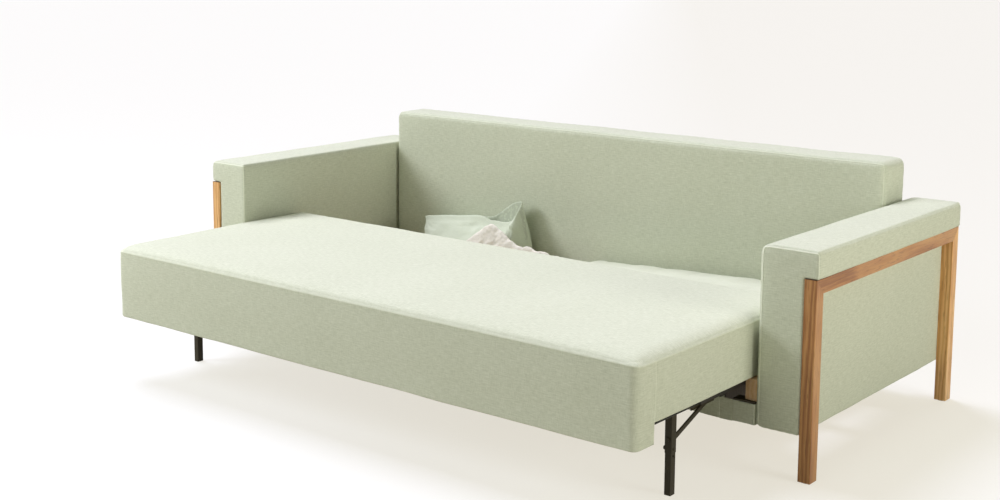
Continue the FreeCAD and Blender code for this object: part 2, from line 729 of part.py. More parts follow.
os.makedirs("parts", exist_ok=True)
for item in SUBPARTS:
    item.Shape.exportStep(f"parts/{item.Label}.step")
bounds = FreeCAD.BoundBox()
for item in SUBPARTS:
    bounds.add(item.Shape.BoundBox)
print(len(SUBPARTS), "sub-parts,", bounds)
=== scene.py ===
import math

import bpy
import numpy as np
from mathutils import Matrix, Vector


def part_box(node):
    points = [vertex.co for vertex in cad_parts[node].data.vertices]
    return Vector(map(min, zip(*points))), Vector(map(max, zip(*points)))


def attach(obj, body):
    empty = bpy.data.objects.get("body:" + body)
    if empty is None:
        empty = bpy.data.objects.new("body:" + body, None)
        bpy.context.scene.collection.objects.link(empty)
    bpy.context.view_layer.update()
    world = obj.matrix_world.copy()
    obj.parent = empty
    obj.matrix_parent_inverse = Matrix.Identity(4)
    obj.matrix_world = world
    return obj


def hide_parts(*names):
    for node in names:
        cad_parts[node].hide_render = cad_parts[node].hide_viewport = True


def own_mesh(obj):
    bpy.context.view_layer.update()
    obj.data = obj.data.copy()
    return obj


# Sleeper sofa whose seat pulls out to make a bed. Metres, Z up, the front is -Y.

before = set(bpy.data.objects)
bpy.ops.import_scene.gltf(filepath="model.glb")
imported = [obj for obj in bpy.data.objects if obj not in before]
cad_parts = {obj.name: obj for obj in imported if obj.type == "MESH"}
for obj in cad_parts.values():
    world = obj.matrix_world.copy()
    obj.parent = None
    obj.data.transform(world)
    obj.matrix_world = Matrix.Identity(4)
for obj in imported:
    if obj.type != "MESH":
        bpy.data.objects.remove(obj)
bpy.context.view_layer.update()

MM = 0.001
SIDES = {"left": -1, "right": 1}
TOUCH = 1e-6  # closer than this counts as lying on a face


# ---- node helpers

def put(tree, kind, values=None, **settings):
    """A shader node with its settings and its inputs, each a value or another node's output."""
    node = tree.nodes.new("ShaderNode" + kind)
    for key, value in settings.items():
        setattr(node, key, value)
    for key, value in (values or {}).items():
        if isinstance(value, bpy.types.NodeSocket):
            tree.links.new(value, node.inputs[key])
        else:
            node.inputs[key].default_value = value
    return node


def math_node(tree, operation, *values):
    return put(tree, "Math", dict(enumerate(values)), operation=operation).outputs[0]


def vector_node(tree, operation, *values):
    node = put(tree, "VectorMath", dict(enumerate(values)), operation=operation)
    return node.outputs["Value" if operation == "DOT_PRODUCT" else "Vector"]


def remapped(tree, value, start, end, first, last):
    """A value that runs from start to end, as one that runs from first to last."""
    return put(tree, "MapRange", {0: value, 1: start, 2: end, 3: first, 4: last}).outputs[0]


def blended(tree, factor, first, second):
    """The first colour where the factor is 0, the second where it is 1."""
    return put(tree, "Mix", {0: factor, 6: first, 7: second}, data_type="RGBA").outputs[2]


def srgb(code):
    """The linear colour of a hexadecimal sRGB code."""
    parts = [int(code[i:i + 2], 16) / 255 for i in (0, 2, 4)]
    return [c / 12.92 if c <= 0.04045 else ((c + 0.055) / 1.055) ** 2.4 for c in parts] + [1]


def toned(colour, factor, lift=0.0):
    """A colour made lighter or darker."""
    return [min(1, c * factor + lift) for c in colour[:3]] + [1]


def cleared(owner):
    """The emptied node tree of a material or a world."""
    owner.use_nodes = True
    owner.node_tree.nodes.clear()
    return owner.node_tree


def new_material(name, **constants):
    """A material with a Principled shader whose plain sockets are set from the constants."""
    material = bpy.data.materials.new(name)
    tree = cleared(material)
    shader = put(tree, "BsdfPrincipled", {k.replace("_", " "): v for k, v in constants.items()})
    put(tree, "OutputMaterial", {0: shader.outputs[0]})
    return material, tree, shader


def ramp(tree, factor, *stops):
    """A colour ramp through (position, colour) stops."""
    node = put(tree, "ValToRGB", {"Fac": factor})
    elements = node.color_ramp.elements
    for element, (position, colour) in zip(elements, stops):
        element.position, element.color = position, colour
    for position, colour in stops[2:]:
        elements.new(position).color = colour
    return node.outputs["Color"]


def noise(tree, vector, scale, detail, roughness):
    return put(tree, "TexNoise", {"Vector": vector, "Scale": scale, "Detail": detail,
                                  "Roughness": roughness}).outputs["Fac"]


def stretched(tree, vector, scale):
    return put(tree, "Mapping", {"Vector": vector, "Scale": scale}).outputs[0]


def bumped(tree, shader, *layers):
    """Bump layers, each (height, distance in metres, strength), the last on top."""
    normal = None
    for height, distance, strength in layers:
        values = {"Height": height, "Distance": distance, "Strength": strength}
        if normal is not None:
            values["Normal"] = normal
        normal = put(tree, "Bump", values).outputs[0]
    tree.links.new(normal, shader.inputs["Normal"])


def facing(tree):
    """How much the surface faces along X, Y and Z, either way."""
    return vector_node(tree, "ABSOLUTE", put(tree, "NewGeometry").outputs["Normal"])


def cloth_plane(tree):
    """The position, and its part across and along the cloth, by the way the surface faces."""
    position = put(tree, "TexCoord").outputs["Object"]
    x, y, z = put(tree, "SeparateXYZ", {0: position}).outputs
    fx, fy, fz = put(tree, "SeparateXYZ", {0: facing(tree)}).outputs
    flat = math_node(tree, "GREATER_THAN", fz, math_node(tree, "MAXIMUM", fx, fy))
    side = math_node(tree, "GREATER_THAN", fx, fy)
    across = put(tree, "Mix", {0: side, 2: x, 3: y}).outputs[0]
    across = put(tree, "Mix", {0: flat, 2: across, 3: x}).outputs[0]
    along = put(tree, "Mix", {0: flat, 2: z, 3: y}).outputs[0]
    return position, put(tree, "CombineXYZ", {0: across, 1: along}).outputs[0], across, along


def woven(name, codes, pitch=1.5 * MM, slub=1.0, relief=1.0):
    """Linen-look cloth: a plain weave with thicker slub threads both ways, with a painted highlight
    along its seams.

    The codes are its base, dark and light colours."""
    base, dark, light = map(srgb, codes.split())
    material, tree, shader = new_material(name, Roughness=0.92, Specular_IOR_Level=0.12,
                                          Sheen_Weight=0.12, Sheen_Roughness=0.6)
    position, plane, across, along = cloth_plane(tree)
    weft, warp, weft_slub, warp_slub = [
        noise(tree, stretched(tree, plane, (u, v, 1)), 1.0, detail, roughness)
        for u, v, detail, roughness in ((60, 680, 3.0, 0.6), (680, 75, 3.0, 0.6),
                                        (38, 300, 2.0, 0.5), (300, 50, 2.0, 0.5))]
    flecks = noise(tree, position, 700.0, 1.0, 0.5)
    patches = noise(tree, position, 3.5, 2.0, 0.5)
    threads = math_node(tree, "MULTIPLY_ADD", warp, 0.7, weft)
    slubs = math_node(tree, "MULTIPLY_ADD", warp_slub, 0.6, weft_slub)
    tone = math_node(tree, "MULTIPLY", threads, 0.28 * slub)
    for part, weight in ((slubs, 0.26 * slub), (flecks, 0.06), (patches, 0.06)):
        tone = math_node(tree, "MULTIPLY_ADD", part, weight, tone)
    # The noises are 0.5 on average: the ramp's middle is the tone that they add up to.
    middle = 0.5 * (0.476 * slub + 0.416 * slub + 0.12)
    colour = ramp(tree, tone, (middle - 0.16, dark), (middle + 0.16, light), (middle, base))
    # The seam attribute paints a highlight: a paler line where seams and hems catch the light.
    seam = put(tree, "Attribute", attribute_name="seam").outputs["Fac"]
    colour = blended(tree, seam, colour, toned(light, 1.22))
    # Where a cover shows its lining, petals are woven into it a shade darker.
    lining = put(tree, "Attribute", attribute_name="lining").outputs["Fac"]
    petals = put(tree, "TexVoronoi", {"Vector": position, "Scale": 95.0, "Smoothness": 0.4},
                 feature="SMOOTH_F1").outputs["Distance"]
    petals = math_node(tree, "MULTIPLY", remapped(tree, petals, 0.25, 0.55, 0.0, 0.35), lining)
    colour = blended(tree, petals, colour, toned(dark, 0.62))
    tree.links.new(colour, shader.inputs["Base Color"])
    turn = 2 * math.pi / pitch
    wave_u = math_node(tree, "SINE", math_node(tree, "MULTIPLY", across, turn))
    wave_v = math_node(tree, "SINE", math_node(tree, "MULTIPLY", along, turn))
    weave = math_node(tree, "MULTIPLY", wave_u, wave_v)
    bumped(tree, shader, (threads, 0.9 * MM, 0.35 * relief), (weave, 0.25 * MM, 0.35 * relief),
           (slubs, 0.7 * MM, 0.22 * relief))
    return material


def grained(name, axis, codes, pores=1.0, gloss=0.42, figure=1.0, joints=()):
    """Oiled wood whose grain runs along one axis, darker on its end grain and along its joints,
    and with painted shadow lines.

    The codes are its base, dark and light colours. Each joint is (normal, distance): the plane
    where two pieces meet, seen as a fine dark line, or where a gap lies in shade, drawn as a
    fine dark line of painted shadow."""
    base, dark, light = map(srgb, codes.split())
    material, tree, shader = new_material(name, Specular_IOR_Level=0.3, Coat_Weight=0.08,
                                          Coat_Roughness=0.4)
    position = put(tree, "TexCoord").outputs["Object"]

    def by_grain(across, along):
        """The position, scaled across and along the grain."""
        scale = [across] * 3
        scale[axis] = along
        return stretched(tree, position, scale)

    wander = vector_node(tree, "MULTIPLY", noise(tree, position, 2.2, 3.0, 0.5), [0.35] * 3)
    bent = vector_node(tree, "ADD", by_grain(9.0, 0.5), wander)
    bands = put(tree, "TexWave", {"Vector": bent, "Scale": 2.6, "Distortion": 6.0, "Detail": 3.0,
                                  "Detail Scale": 1.4, "Detail Roughness": 0.6},
                bands_direction="X" if axis else "Y", wave_profile="SIN").outputs["Fac"]
    fibres = noise(tree, by_grain(210.0, 5.0), 1.0, 3.0, 0.6)
    patches = noise(tree, by_grain(9.0, 0.5), 1.6, 2.0, 0.5)
    tone = math_node(tree, "MULTIPLY", bands, 0.20 * figure)
    tone = math_node(tree, "MULTIPLY_ADD", patches, 0.34 * figure, tone)
    tone = math_node(tree, "MULTIPLY_ADD", fibres, 0.30, tone)
    middle = 0.27 * figure + 0.15
    colour = ramp(tree, tone, (middle - 0.16, dark), (middle + 0.17, light), (middle, base))
    specks = noise(tree, by_grain(420.0, 26.0), 1.0, 1.0, 0.5)
    pore = remapped(tree, specks, 0.60, 0.72, 0.0, 0.5 * pores)
    colour = blended(tree, pore, colour, toned(dark, 0.5))
    end = put(tree, "SeparateXYZ", {0: facing(tree)}).outputs[axis]
    end = remapped(tree, end, 0.6, 0.9, 0.0, 0.3)
    # A fine dark line along each plane: a real joint at the mitres, painted shadow at the rail's top.
    for normal, distance in joints:
        off = vector_node(tree, "DOT_PRODUCT", position, normal)
        off = math_node(tree, "ABSOLUTE", math_node(tree, "SUBTRACT", off, distance))
        line = remapped(tree, off, 0.4 * MM, 0.9 * MM, 0.85, 0.0)
        end = math_node(tree, "MAXIMUM", end, line)
    colour = blended(tree, end, colour, (0.05, 0.025, 0.012, 1))
    tree.links.new(colour, shader.inputs["Base Color"])
    rough = remapped(tree, fibres, 0.3, 0.7, gloss - 0.06, gloss + 0.10)
    tree.links.new(rough, shader.inputs["Roughness"])
    bumped(tree, shader, (fibres, 0.25 * MM, 0.25), (pore, -0.3 * MM, 0.5))
    return material


def metal(name, codes, metallic, rough, wear=0.5, mirror=0.5):
    """Coated or bright steel with rubbed edges, faint drawing lines and smudges.

    The codes are its own colour and that of its rubbed edges."""
    base, worn = map(srgb, codes.split())
    material, tree, shader = new_material(name, Specular_IOR_Level=mirror, Metallic=metallic)
    position = put(tree, "TexCoord").outputs["Object"]
    smudge = noise(tree, position, 28.0, 4.0, 0.6)
    fine = noise(tree, stretched(tree, position, (900, 900, 30)), 1.0, 2.0, 0.5)
    level = vector_node(tree, "DOT_PRODUCT", put(tree, "Bevel", {"Radius": 1.2 * MM}).outputs[0],
                        put(tree, "NewGeometry").outputs["Normal"])
    rub = math_node(tree, "MULTIPLY", remapped(tree, level, 0.93, 0.80, 0.0, wear), smudge)
    tint = ramp(tree, smudge, (0.3, base), (0.7, toned(base, 1.35, 0.004)))
    tree.links.new(blended(tree, rub, tint, worn), shader.inputs["Base Color"])
    roughness = remapped(tree, smudge, 0.3, 0.7, rough - 0.07, rough + 0.09)
    tree.links.new(roughness, shader.inputs["Roughness"])
    bumped(tree, shader, (fine, 0.05 * MM, 0.3), (smudge, 0.2 * MM, 0.15))
    return material


# ---- mesh helpers

def lines(low, high, step, *marks, fine=1.6 * MM, reach=3):
    """Grid lines from low to high: about a step apart, and close together at each mark."""
    count = max(1, round((high - low) / step))
    rows = list(np.linspace(low, high, count + 1))
    for mark in marks:
        span = fine * reach
        rows = [r for r in rows if abs(r - mark) > span + fine * 0.7 or r in (low, high)]
        rows += [mark + fine * k for k in range(-reach, reach + 1)
                 if low <= mark + fine * k <= high]
    return np.array(sorted(set(np.round(rows, 6))))


def shell(xs, ys, zs, filled=lambda x, y, z: np.ones(x.shape, bool)):
    """Quads round the filled cells of a grid. filled(x, y, z) is asked at the cells' middles."""
    mid = [(a[1:] + a[:-1]) / 2 for a in (xs, ys, zs)]
    cells = filled(*np.meshgrid(*mid, indexing="ij"))
    cells = np.pad(cells, 1)
    shape = (len(xs), len(ys), len(zs))
    quads = []
    for axis in range(3):
        step = np.diff(cells.astype(int), axis=axis)
        index = [slice(1, -1)] * 3
        index[axis] = slice(None)
        step = step[tuple(index)]
        u, v = [a for a in range(3) if a != axis]
        for sign in (1, -1):
            spots = np.argwhere(step == sign)
            if not len(spots):
                continue
            corners = []
            for du, dv in ((0, 0), (1, 0), (1, 1), (0, 1)):
                c = spots.copy()
                c[:, u] += du
                c[:, v] += dv
                corners.append(np.ravel_multi_index(c.T, shape))
            quad = np.stack(corners, 1)
            if (sign == 1) != (axis == 1):
                quad = quad[:, ::-1]
            quads.append(quad)
    quads = np.concatenate(quads)
    used, flat = np.unique(quads, return_inverse=True)
    i, j, k = np.unravel_index(used, shape)
    return np.stack([xs[i], ys[j], zs[k]], 1), flat.reshape(-1, 4)


def placed(name, data):
    """A new object in the scene."""
    item = bpy.data.objects.new(name, data)
    bpy.context.scene.collection.objects.link(item)
    return item


def mesh_of(name, points, faces):
    mesh = bpy.data.meshes.new(name)
    mesh.from_pydata([tuple(p) for p in points], [], [tuple(f) for f in faces])
    return mesh


def make_piece(name, points, faces, material, body, replaces, seam=None):
    """A smooth-shaded mesh that rides on a body and stands for CAD nodes."""
    mesh = mesh_of(name, points, faces)
    mesh.validate()
    mesh.polygons.foreach_set("use_smooth", [True] * len(mesh.polygons))
    mesh.materials.append(material)
    # seam says where the cloth gets its painted highlight along seams and hems.
    if seam is not None:
        mark = mesh.attributes.new("seam", "FLOAT", "POINT")
        mark.data.foreach_set("value", np.clip(seam, 0, 1).astype(np.float32))
    piece = placed(name, mesh)
    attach(piece, body)
    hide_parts(*replaces)
    return piece


def random_waves(seed, count, size, longest):
    """Count random waves about a size long, each a direction, a length and a phase."""
    draw = np.random.RandomState(seed)
    for _ in range(count):
        way = draw.normal(size=3)
        way /= np.linalg.norm(way)
        yield way, size * draw.uniform(0.6, longest), draw.uniform(0, 6.3)


def ripple(points, size, amount, seed):
    """A gentle random height for each point, from seven sine waves about a size long."""
    height = np.zeros(len(points))
    for way, length, phase in random_waves(seed, 7, size, 1.6):
        height += np.sin(points @ way * 2 * math.pi / length + phase)
    return height * amount / math.sqrt(7)


def creased(points, size, amount, seed):
    """Sharp random creases, as in crumpled cloth, about a size apart."""
    bend = ripple(points, size * 1.7, 1.1, seed + 1)
    height = np.zeros(len(points))
    for way, length, phase in random_waves(seed, 6, size, 1.8):
        height += 1 - 1.6 * np.abs(np.sin(points @ way * math.pi / length + bend + phase))
    return height * amount / math.sqrt(6)


def normals_of(points, faces):
    """Unit vertex normals of a quad mesh."""
    a, b, c, d = (points[faces[:, k]] for k in range(4))
    face = np.cross(c - a, d - b)
    total = np.zeros_like(points)
    for k in range(4):
        np.add.at(total, faces[:, k], face)
    return total / np.maximum(np.linalg.norm(total, axis=1, keepdims=True), 1e-12)


def pushed(points, faces, height):
    """Moves each point outwards along its normal by its height."""
    return points + normals_of(points, faces) * height[:, None]


def bead(off, width=1.5 * MM):
    """The rounded profile of a seam, by the distance from it."""
    return np.exp(-(off / width) ** 2)


def round_union(points, boxes, low_radius, high_radius):
    """Moves a sharp union of boxes to a rounded one, with a radius for each side of each axis."""
    best = np.full(len(points), np.inf)
    moved = points.copy()
    low_radius, high_radius = np.array(low_radius), np.array(high_radius)
    for low, high in boxes:
        near = np.clip(points, np.array(low) + low_radius, np.array(high) - high_radius)
        radius = np.where(points < near, low_radius, high_radius)
        away = (points - near) / radius
        gap = np.linalg.norm(away, axis=1)
        closer = gap < best
        best[closer] = gap[closer]
        away /= np.maximum(gap, 1)[:, None]
        moved[closer] = (near + away * radius)[closer]
    return moved


def round_plan(points, low, high, radius):
    """Rounds the upright corners of a plan rectangle; radius holds the left and right ones."""
    low, high = np.array(low[:2]), np.array(high[:2])
    radius = np.where(points[:, :1] < 0, *radius)
    middle = np.clip(points[:, :2], low + radius, high - radius)
    away = (points[:, :2] - middle) / radius
    long = np.linalg.norm(away, axis=1)
    scale = np.where(long > 0, np.abs(away).max(1) / np.maximum(long, 1e-9), 1)
    points[:, :2] = middle + away * radius * scale[:, None]
    return points


def outline_normal(points, low, high, radius):
    """Outward direction and inward distance from the outline of a rounded plan rectangle."""
    low, high = np.array(low[:2]), np.array(high[:2])
    middle, half = (low + high) / 2, (high - low) / 2
    radius = np.where(points[:, :1] < 0, *radius)
    away = points[:, :2] - middle
    over = np.abs(away) - (half - radius)
    corner = (over > 0).all(1)
    length = np.linalg.norm(np.maximum(over, 0), axis=1)
    normal = np.zeros_like(away)
    longer = np.argmax(over, axis=1)
    normal[np.arange(len(away)), longer] = np.sign(away[np.arange(len(away)), longer])
    normal[corner] = (over * np.sign(away))[corner] / np.maximum(length[corner, None], 1e-9)
    inward = radius[:, 0] - np.where(corner, length, over.max(1))
    return normal, np.maximum(inward, 0)


def round_rim(points, normal, inward, edge, up, across, high):
    """Rounds the rim between the sides and the face at height edge (up is +1 above, -1 below)."""
    a = np.clip((across - inward) / across, 0, 1)
    b = np.clip((high - up * (edge - points[:, 2])) / high, 0, 1)
    m, size = np.maximum(a, b), np.hypot(a, b)
    scale = np.where((a > 0) & (b > 0), m / np.maximum(size, 1e-9), 1)
    points[:, :2] += normal * (across * a * (scale - 1))[:, None]
    points[:, 2] += up * high * b * (scale - 1)
    return points


# ---- materials

SAGE = woven("sage_linen", "CCD1B9 B7BDA3 DFE3CF")
PILLOW = woven("pillow_cotton", "C8D0B9 B9C1A8 D4DCC7", 0.8 * MM, 0.5, 0.5)
BLANKET = woven("blanket_knit", "DFDBCC CFCAB9 E9E5DA", 2.4 * MM, 0.9, 1.2)
QUILT = woven("quilt_cotton", "D2D7C0 C4C9B1 DEE2CF", 0.8 * MM, 0.5, 0.5)
# The planes where an arm frame's pieces meet, its front and rear mitres, and the rail's top, where
# the dark line is painted shadow for the gap under the arm's pad.
FRAME_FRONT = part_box("right_front_post")[0][1]
FRAME_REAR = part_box("right_rear_post")[1][1]
RAIL_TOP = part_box("right_arm_rail")[1][2]
SLANT = math.sqrt(0.5)
MITRES_AND_SHADOW_LINE = [((0, SLANT, -SLANT), (FRAME_FRONT - RAIL_TOP) * SLANT),
          ((0, SLANT, SLANT), (FRAME_REAR + RAIL_TOP) * SLANT), ((0, 0, 1), RAIL_TOP)]
WALNUT = {axis: grained(f"walnut_{'xyz'[axis]}", axis, "B17E4C 8E5E37 C49660", joints=MITRES_AND_SHADOW_LINE)
          for axis in (1, 2)}
# A paler copy of the walnut, painted light: it stands for the light falling on the left front post
# and on the rear posts.
LIT_WALNUT = grained("walnut_painted_light", 2, "E0AE70 C08A50 EDC58C", joints=MITRES_AND_SHADOW_LINE)
PINE = {axis: grained(f"pine_{'xyz'[axis]}", axis, "F0C894 DFB27C F6D8AC", 0.3, 0.5, 0.7)
        for axis in (0, 1)}
BOARD = grained("birch_board", 0, "D2BE9C C6B08B DCCBAC", 0.2, 0.55, 0.45)
# A board painted dark as shade: it stands for the deep shadow under the seat, where the box's side
# boards show.
SHADE_BOARD = grained("board_painted_shade", 0, "574C3D 463C30 655A4A", 0.2, 0.6, 0.45)
BLACK = metal("black_steel", "302B1D 5E5642", 0.0, 0.5, 0.3, 0.18)
RUNNER = metal("runner_steel", "34322D 6E6C66", 0.4, 0.42, 0.3, 0.3)
ZINC = metal("zinc_steel", "A7A59C D0CEC6", 0.9, 0.34, 0.5)
GLIDE = metal("glide_plastic", "3A3835 57544F", 0.0, 0.55, 0.3)


def paint(material, names, side=""):
    """Gives CAD nodes their finished material."""
    for name in names.split():
        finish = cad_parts[side + name].data.materials
        finish.clear()
        finish.append(material)


for side in ("left_", "right_"):
    # The left front post and the rear posts get the paler walnut as painted light.
    paint(LIT_WALNUT if side == "left_" else WALNUT[2], "front_post", side)
    paint(LIT_WALNUT, "rear_post", side)
    paint(WALNUT[1], "arm_rail", side)
    paint(PINE[1], "side_beam seat_side_rail", side)
    paint(PINE[0], "leg_block", side)
    paint(BOARD, "arm_core", side)
    # The box's side boards get the board painted with shade.
    paint(SHADE_BOARD, "box_board", side)
    paint(RUNNER, "fixed_runner middle_runner inner_runner", side)
    paint(BLACK, "leg_tube leg_insert leg_bolt leg_bracket leg_pin brace brace_pin brace_catch", side)
paint(PINE[0], "box_bearers apron_rail seat_rear_rail seat_slats")
paint(BOARD, "back_core box_floor box_rear_board")
paint(BLACK, "front_rail")
paint(ZINC, "beam_screws")
paint(GLIDE, "post_glides")


# ---- seat

def box_of(node):
    low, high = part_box(node)
    return np.array(low), np.array(high)


SEAT_LOW, SEAT_HIGH = box_of("seat_upholstery")
CUSHION_BOTTOM = 252.5 * MM
APRON_REAR = SEAT_LOW[1] + 80 * MM
CORNER = (30 * MM, 22 * MM)
RIM_DROP = 17 * MM
RIM_ACROSS = 80 * MM
SIDE_SEAM = 80 * MM
# The rim rolls down widely at the front and on the right, tightly at the rear and on the left.
ROLL_WIDTHS = np.array([74, 18, 34, 52])[:, None] * MM


def make_seat():
    """Seat cushion and apron in one cover: crowned top panel, puckered seam, upright side seams."""
    low, high = SEAT_LOW, SEAT_HIGH
    seam = high[2] - RIM_DROP
    xs = lines(low[0], high[0], 11 * MM, low[0], low[0] + 14 * MM, high[0] - 14 * MM, high[0],
               fine=3 * MM, reach=4)
    ys = lines(low[1], high[1], 11 * MM, low[1], low[1] + SIDE_SEAM, high[1], APRON_REAR,
               fine=2 * MM, reach=4)
    zs = lines(low[2], high[2], 11 * MM, low[2], seam, CUSHION_BOTTOM, high[2], fine=1.4 * MM,
               reach=4)
    points, faces = shell(xs, ys, zs, lambda x, y, z: (z > CUSHION_BOTTOM) | (y < APRON_REAR))
    flat = points.copy()
    x, y, z = flat.T
    points = round_plan(points, low, high, CORNER)
    normal, inward = outline_normal(points, low, high, CORNER)
    outside = inward < TOUCH
    on_top = z > high[2] - TOUCH
    in_rim = on_top | (outside & (z > seam))
    # The path from the seam over the rim is laid out evenly along its whole width.
    path = np.where(on_top, RIM_DROP + inward, z - seam) / (RIM_DROP + RIM_ACROSS)
    shift = np.where(path < 1, RIM_ACROSS * path - np.where(on_top, inward, 0), 0)
    towards, _ = outline_normal(points, low, high, (100 * MM, 100 * MM))
    points[in_rim, :2] -= (towards * shift[:, None])[in_rim]
    _, tight = outline_normal(points, low, high, CORNER)
    # How far each point is from the front, the rear, the left and the right.
    ends = np.stack([points[:, 1] - low[1], high[1] - points[:, 1], points[:, 0] - low[0],
                     high[0] - points[:, 0]])
    rolls = np.clip(1 - ends / ROLL_WIDTHS, 0, 1)
    edge = np.clip(1 - tight / (28 * MM), 0, 1)
    rolls = np.minimum(1, (rolls ** 2.2).sum(0) ** (1 / 2.2))
    rise = 0.58 * (1 - rolls ** 2.1) + 0.42 * np.sqrt(1 - edge ** 2)
    crown = (4 + 7 * (1 - np.exp(-ends[1] / 0.25)) * (
        1 - np.exp(-np.minimum(ends[2], ends[3]) / 0.15))) * MM
    points[in_rim, 2] = (seam + (RIM_DROP + crown) * rise)[in_rim]
    bottom = np.where(y < APRON_REAR + TOUCH, low[2], CUSHION_BOTTOM)
    for level in (low[2], CUSHION_BOTTOM):
        chosen = np.isclose(bottom, level)
        points[chosen] = round_rim(points[chosen], normal[chosen], inward[chosen], level, -1,
                                   6 * MM, 6 * MM)
    # The side panels belly a little below the sewn ridge.
    drop = np.clip((seam - z) / (seam - CUSHION_BOTTOM), 0, 1)
    belly = 1.8 * MM * np.sin(math.pi * drop) * (drop > 0)
    gap = z - seam
    around = x + y
    waves = (np.sin(around * 2 * math.pi / 0.034 + 2.2 * np.sin(around * 19))
             * (0.55 + 0.45 * np.sin(around * 7.3 + 1)))
    ridge = (0.7 * MM * bead(gap + 0.8 * MM, 1.4 * MM) - 1.0 * MM * bead(gap - 3.4 * MM, 2.2 * MM)
             + 0.5 * MM * waves * bead(gap, 9 * MM))
    beside = y - low[1] - SIDE_SEAM
    on_side = (np.abs(x) > high[0] - TOUCH) & (z < seam - 2 * MM)
    upright = (1.1 * MM * bead(beside, 1.8 * MM) - 0.7 * MM * bead(beside - 4.5 * MM, 2 * MM))
    push = np.where(outside, belly + ridge + upright * on_side, 0)
    points[:, :2] += normal * push[:, None]
    # Small folds run from the seam into the top panel.
    reach = np.where(on_top, RIM_DROP + inward, gap)
    points[in_rim, 2] += (0.9 * MM * waves * np.exp(-np.maximum(reach, 0) / 0.030)
                          * (reach > 1 * MM))[in_rim]
    points = pushed(points, faces,
                    ripple(flat, 0.36, 0.7 * MM, 3) + ripple(flat, 0.10, 0.25 * MM, 4))
    # The seam sits a little higher along the front than at the sides.
    to_front = np.where(outside, np.clip(-normal[:, 1], 0, 1), np.clip(1 - ends[0] / 0.08, 0, 1))
    near_seam = np.clip(1 - np.abs(gap) / 0.05, 0, 1) * outside + in_rim * ~outside * rolls
    points[:, 2] += 4 * MM * to_front ** 2 * near_seam
    # A painted highlight along the top seam and the upright side seams, where their ridges catch the
    # light.
    mark = 0.34 * bead(gap, 1.5 * MM) * outside + 0.40 * bead(beside, 1.5 * MM) * on_side
    seat = make_piece("seat_cover", points, faces, SAGE, "seat",
                      ["seat_upholstery"], mark)


# ---- arms

def make_arm(name, side):
    """Arm cover: a boxed slab with an overhanging top pad, sewn round its front panel."""
    low, high = box_of(f"{name}_arm_upholstery")
    inner, outer = (low[0], high[0]) if side > 0 else (high[0], low[0])
    slab_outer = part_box(f"{name}_front_post")[0 if side > 0 else 1][0]
    pad_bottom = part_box(f"{name}_arm_rail")[1][2]
    soft, firm = (27 if side < 0 else 32) * MM, 9 * MM
    low_radius, high_radius = (soft, 9 * MM, firm), (firm, 9 * MM, 22 * MM)
    near, far = sorted((inner, slab_outer))
    slab = ((near, low[1], low[2]), (far, high[1], high[2]))
    pad = ((low[0], low[1], pad_bottom), (high[0], high[1], high[2]))
    xs = lines(low[0], high[0], 12 * MM, low[0], high[0], slab_outer, fine=1.8 * MM, reach=6)
    ys = lines(low[1], high[1], 12 * MM, low[1], high[1], fine=1.5 * MM, reach=5)
    zs = lines(low[2], high[2], 12 * MM, low[2], high[2], pad_bottom, fine=1.8 * MM, reach=6)
    points, faces = shell(xs, ys, zs,
                          lambda x, y, z: (z > pad_bottom) | ((x > near) & (x < far)))
    flat = points.copy()
    x, y, z = flat.T
    points = round_union(points, [slab, pad], low_radius, high_radius)
    # Piped seams stand up where the front and rear panels meet the long panels.
    rim = np.minimum(np.abs(x - inner), np.abs(z - high[2]))
    rim = np.minimum(rim, np.where(z > pad_bottom - TOUCH, np.abs(x - outer), 1))
    rim = np.minimum(rim, np.abs(z - low[2]))
    edge_x = np.minimum(x - low[0], high[0] - x)
    edge_y = np.minimum(y - low[1], high[1] - y)
    off = np.hypot(rim, np.abs(edge_y))
    seam = 1.2 * MM * bead(off, 1.7 * MM) - 0.8 * MM * bead(off - 4.4 * MM, 1.8 * MM)
    along = x * 1.3 + y + z
    pucker = (0.45 * MM * np.sin(along * 2 * math.pi / 0.031 + 2 * np.sin(along * 17))
              * bead(off, 14 * MM))
    crown = 2.6 * MM * (1 - np.exp(-np.minimum(edge_x, edge_y) / 0.035)) * (z > high[2] - TOUCH)
    panel = 1.8 * MM * (1 - np.exp(-edge_y / 0.06)) * (
        1 - np.exp(-(z - low[2]) / 0.06)) * (np.abs(x - outer) < TOUCH)
    points = pushed(points, faces, seam + pucker + crown + panel
                    + ripple(flat, 0.28, 0.5 * MM, 11 + side)
                    + ripple(flat, 0.07, 0.16 * MM, 21 + side))
    # The piped seams get a painted highlight along them.
    arm = make_piece(f"{name}_arm_cover", points, faces, SAGE, "base",
                     [f"{name}_arm_upholstery"], 0.8 * bead(off, 2.0 * MM))


# ---- back

